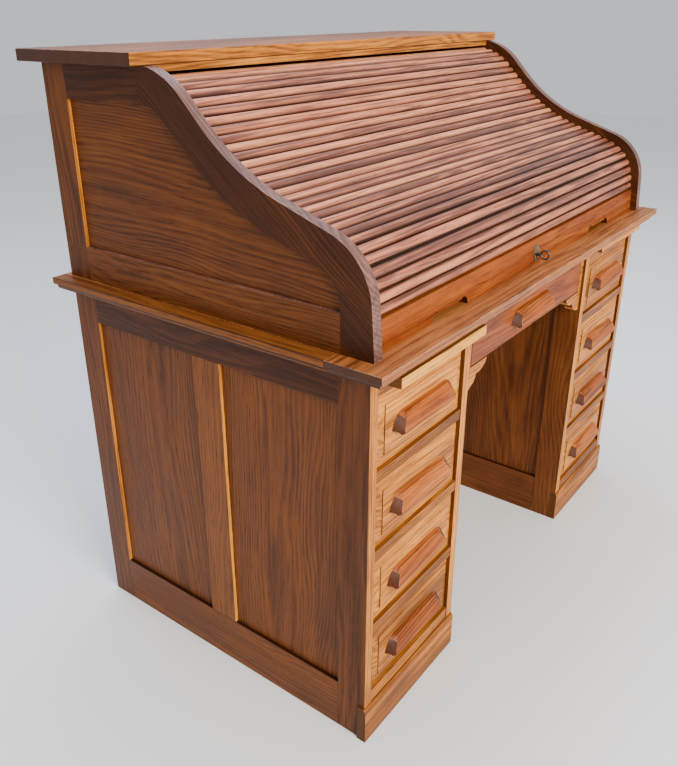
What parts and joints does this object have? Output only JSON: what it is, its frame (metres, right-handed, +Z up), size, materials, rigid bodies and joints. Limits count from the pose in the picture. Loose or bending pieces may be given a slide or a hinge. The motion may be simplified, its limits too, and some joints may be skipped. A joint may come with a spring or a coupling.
{
  "type": "roll top desk",
  "caption": "Oak roll top desk with an S-curved tambour curtain over a writing surface, pedestals of drawers with wooden pulls, and pull-out writing slides.",
  "frame": {"origin": "centre of the footprint's bounding box, on the floor", "axes": "+X to the right along the desktop's front edge, +Y to the back, +Z up; the drawers open towards -Y"},
  "size_m": [1.27, 0.793, 1.19],
  "materials": {
    "oak_front": "satin varnish",
    "oak_top": "satin varnish",
    "oak_side": "satin varnish",
    "oak_slats": "satin varnish",
    "oak_inside": "matt, unvarnished",
    "oak_pull": "satin varnish",
    "worn_brass": "dull",
    "dark_steel": "dull",
    "rod_steel": "satin"
  },
  "bodies": {
    "carcase": {"desktop_field": "oak_top", "desktop_front_board": "oak_top", "top_deck": "oak_front", "deck_fascia": "oak_side", "case_side_left": "oak_side", "case_side_right": "oak_side", "case_panels": "oak_side", "case_back": "oak_side", "pedestal_left": "oak_side", "pedestal_right": "oak_side", "pedestal_panels": "oak_side", "base_backs": "oak_side", "drawer_rails": "oak_front", "plinths": "oak_front", "knee_brackets": "oak_front", "gallery": "oak_inside", "strike_plate": "worn_brass"},
    "lift_rail": {"lift_rail": "oak_top", "escutcheon": "worn_brass", "lock_case": "worn_brass"},
    "slats_01": {"slats_01": "oak_slats"},
    "slats_02": {"slats_02": "oak_slats"},
    "slats_03": {"slats_03": "oak_slats"},
    "slats_04": {"slats_04": "oak_slats"},
    "slats_05": {"slats_05": "oak_slats"},
    "slats_06": {"slats_06": "oak_slats"},
    "slats_07": {"slats_07": "oak_slats"},
    "slats_08": {"slats_08": "oak_slats"},
    "slats_09": {"slats_09": "oak_slats"},
    "slats_10": {"slats_10": "oak_slats"},
    "slats_11": {"slats_11": "oak_slats"},
    "slats_12": {"slats_12": "oak_slats", "curtain_rod": "rod_steel"},
    "slats_13": {"slats_13": "oak_slats"},
    "slats_14": {"slats_14": "oak_slats"},
    "slats_15": {"slats_15": "oak_slats"},
    "key": {"key": "dark_steel"},
    "lock_bolt": {"lock_bolt": "dark_steel"},
    "drawer_left_1": {"drawer_left_1": "oak_front", "pull_left_1": "oak_pull"},
    "drawer_left_2": {"drawer_left_2": "oak_front", "pull_left_2": "oak_pull"},
    "drawer_left_3": {"drawer_left_3": "oak_front", "pull_left_3": "oak_pull"},
    "drawer_left_4": {"drawer_left_4": "oak_front", "pull_left_4": "oak_pull"},
    "drawer_right_1": {"drawer_right_1": "oak_front", "pull_right_1": "oak_pull"},
    "drawer_right_2": {"drawer_right_2": "oak_front", "pull_right_2": "oak_pull"},
    "drawer_right_3": {"drawer_right_3": "oak_front", "pull_right_3": "oak_pull"},
    "drawer_right_4": {"drawer_right_4": "oak_front", "pull_right_4": "oak_pull"},
    "drawer_centre": {"drawer_centre": "oak_front", "pull_centre": "oak_pull"},
    "gallery_drawer_left": {"gallery_drawer_left": "oak_front"},
    "gallery_drawer_right": {"gallery_drawer_right": "oak_front"},
    "writing_slide_left": {"writing_slide_left": "oak_inside"},
    "writing_slide_right": {"writing_slide_right": "oak_inside"}
  },
  "joints": [
    {"name": "curtain_travel", "type": "hinge", "parent": "carcase", "child": "slats_07", "pos_m": [0, 0.14431, 0.73196], "axis": [-1, 0, 0], "range_deg": [0, 70.84]},
    {"name": "curtain_hinge_slats_06", "type": "hinge", "parent": "slats_07", "child": "slats_06", "pos_m": [0, -0.17616, 0.96338], "axis": [1, 0, 0], "range_deg": [0, 23.17]},
    {"name": "curtain_hinge_slats_08", "type": "hinge", "parent": "slats_07", "child": "slats_08", "pos_m": [0, -0.14072, 0.97707], "axis": [1, 0, 0], "range_deg": [-26.71, 0]},
    {"name": "curtain_arc_slats_04", "type": "hinge", "parent": "slats_07", "child": "slats_04", "pos_m": [0, -0.19598, 0.95099], "axis": [1, 0, 0], "range_deg": [0, 48.17]},
    {"name": "curtain_hinge_slats_03", "type": "hinge", "parent": "slats_04", "child": "slats_03", "pos_m": [0, -0.28341, 0.92498], "axis": [1, 0, 0], "range_deg": [-18.55, 0]},
    {"name": "curtain_hinge_slats_05", "type": "hinge", "parent": "slats_04", "child": "slats_05", "pos_m": [0, -0.24802, 0.93864], "axis": [1, 0, 0], "range_deg": [-4.05, 0]},
    {"name": "curtain_arc_slats_01", "type": "hinge", "parent": "slats_04", "child": "slats_01", "pos_m": [0, -0.29683, 0.91749], "axis": [1, 0, 0], "range_deg": [-37.51, 0]},
    {"name": "curtain_hinge_lift_rail", "type": "hinge", "parent": "slats_01", "child": "lift_rail", "pos_m": [0, -0.3286, 0.82691], "axis": [1, 0, 0], "range_deg": [0, 19.14]},
    {"name": "curtain_hinge_slats_02", "type": "hinge", "parent": "slats_01", "child": "slats_02", "pos_m": [0, -0.32558, 0.86479], "axis": [1, 0, 0], "range_deg": [-4.07, 0]},
    {"name": "curtain_arc_slats_10", "type": "hinge", "parent": "slats_07", "child": "slats_10", "pos_m": [0, -0.12644, 0.9808], "axis": [1, 0, 0], "range_deg": [-49.4, 0]},
    {"name": "curtain_hinge_slats_09", "type": "hinge", "parent": "slats_10", "child": "slats_09", "pos_m": [0, -0.07419, 1.0136], "axis": [1, 0, 0], "range_deg": [-4.05, 0]},
    {"name": "curtain_hinge_slats_11", "type": "hinge", "parent": "slats_10", "child": "slats_11", "pos_m": [0, -0.04362, 1.03615], "axis": [1, 0, 0], "range_deg": [-11.71, 0]},
    {"name": "curtain_hinge_slats_12", "type": "hinge", "parent": "slats_11", "child": "slats_12", "pos_m": [0, -0.01519, 1.06135], "axis": [1, 0, 0], "range_deg": [-10.7, 0]},
    {"name": "curtain_arc_slats_14", "type": "hinge", "parent": "slats_10", "child": "slats_14", "pos_m": [0, -0.04373, 1.03754], "axis": [1, 0, 0], "range_deg": [-20.94, 0]},
    {"name": "curtain_hinge_slats_13", "type": "hinge", "parent": "slats_14", "child": "slats_13", "pos_m": [0, 0.03818, 1.11543], "axis": [1, 0, 0], "range_deg": [-7.48, 0]},
    {"name": "curtain_hinge_slats_15", "type": "hinge", "parent": "slats_14", "child": "slats_15", "pos_m": [0, 0.07057, 1.135], "axis": [1, 0, 0], "range_deg": [0, 11.81]},
    {"name": "key_turn", "type": "hinge", "parent": "lift_rail", "child": "key", "pos_m": [0, -0.33083, 0.79499], "axis": [0, -0.9976, 0.0698], "range_deg": [0, 90]},
    {"name": "bolt_travel", "type": "slide", "parent": "lift_rail", "child": "lock_bolt", "axis": [0, -0.0698, -0.9976], "range_m": [0, 0.0081]},
    {"name": "drawer_left_1_slide", "type": "slide", "parent": "carcase", "child": "drawer_left_1", "axis": [0, -1, 0], "range_m": [0, 0.4]},
    {"name": "drawer_left_2_slide", "type": "slide", "parent": "carcase", "child": "drawer_left_2", "axis": [0, -1, 0], "range_m": [0, 0.4]},
    {"name": "drawer_left_3_slide", "type": "slide", "parent": "carcase", "child": "drawer_left_3", "axis": [0, -1, 0], "range_m": [0, 0.4]},
    {"name": "drawer_left_4_slide", "type": "slide", "parent": "carcase", "child": "drawer_left_4", "axis": [0, -1, 0], "range_m": [0, 0.4]},
    {"name": "drawer_right_1_slide", "type": "slide", "parent": "carcase", "child": "drawer_right_1", "axis": [0, -1, 0], "range_m": [0, 0.4]},
    {"name": "drawer_right_2_slide", "type": "slide", "parent": "carcase", "child": "drawer_right_2", "axis": [0, -1, 0], "range_m": [0, 0.4]},
    {"name": "drawer_right_3_slide", "type": "slide", "parent": "carcase", "child": "drawer_right_3", "axis": [0, -1, 0], "range_m": [0, 0.4]},
    {"name": "drawer_right_4_slide", "type": "slide", "parent": "carcase", "child": "drawer_right_4", "axis": [0, -1, 0], "range_m": [0, 0.4]},
    {"name": "drawer_centre_slide", "type": "slide", "parent": "carcase", "child": "drawer_centre", "axis": [0, -1, 0], "range_m": [0, 0.33]},
    {"name": "gallery_drawer_left_slide", "type": "slide", "parent": "carcase", "child": "gallery_drawer_left", "axis": [0, -1, 0], "range_m": [0, 0.12]},
    {"name": "gallery_drawer_right_slide", "type": "slide", "parent": "carcase", "child": "gallery_drawer_right", "axis": [0, -1, 0], "range_m": [0, 0.12]},
    {"name": "writing_slide_left_travel", "type": "slide", "parent": "carcase", "child": "writing_slide_left", "axis": [0, -1, 0], "range_m": [-0.015, 0.24]},
    {"name": "writing_slide_right_travel", "type": "slide", "parent": "carcase", "child": "writing_slide_right", "axis": [0, -1, 0], "range_m": [0, 0.255]}
  ],
  "couplings": [
    {"joint": "curtain_hinge_slats_06", "follows": "curtain_travel", "ratio": 0.32637},
    {"joint": "curtain_hinge_slats_08", "follows": "curtain_travel", "ratio": -0.37637},
    {"joint": "curtain_arc_slats_04", "follows": "curtain_travel", "ratio": 0.67929},
    {"joint": "curtain_hinge_slats_03", "follows": "curtain_travel", "ratio": -0.26113},
    {"joint": "curtain_hinge_slats_05", "follows": "curtain_travel", "ratio": -0.056464},
    {"joint": "curtain_arc_slats_01", "follows": "curtain_travel", "ratio": -0.52873},
    {"joint": "curtain_hinge_lift_rail", "follows": "curtain_travel", "ratio": 0.26953},
    {"joint": "curtain_hinge_slats_02", "follows": "curtain_travel", "ratio": -0.056798},
    {"joint": "curtain_arc_slats_10", "follows": "curtain_travel", "ratio": -0.69656},
    {"joint": "curtain_hinge_slats_09", "follows": "curtain_travel", "ratio": -0.056464},
    {"joint": "curtain_hinge_slats_11", "follows": "curtain_travel", "ratio": -0.16457},
    {"joint": "curtain_hinge_slats_12", "follows": "curtain_travel", "ratio": -0.15035},
    {"joint": "curtain_arc_slats_14", "follows": "curtain_travel", "ratio": -0.29482},
    {"joint": "curtain_hinge_slats_13", "follows": "curtain_travel", "ratio": -0.10487},
    {"joint": "curtain_hinge_slats_15", "follows": "curtain_travel", "ratio": 0.16599},
    {"joint": "bolt_travel", "follows": "key_turn", "m_per_rad": 0.005093}
  ]
}
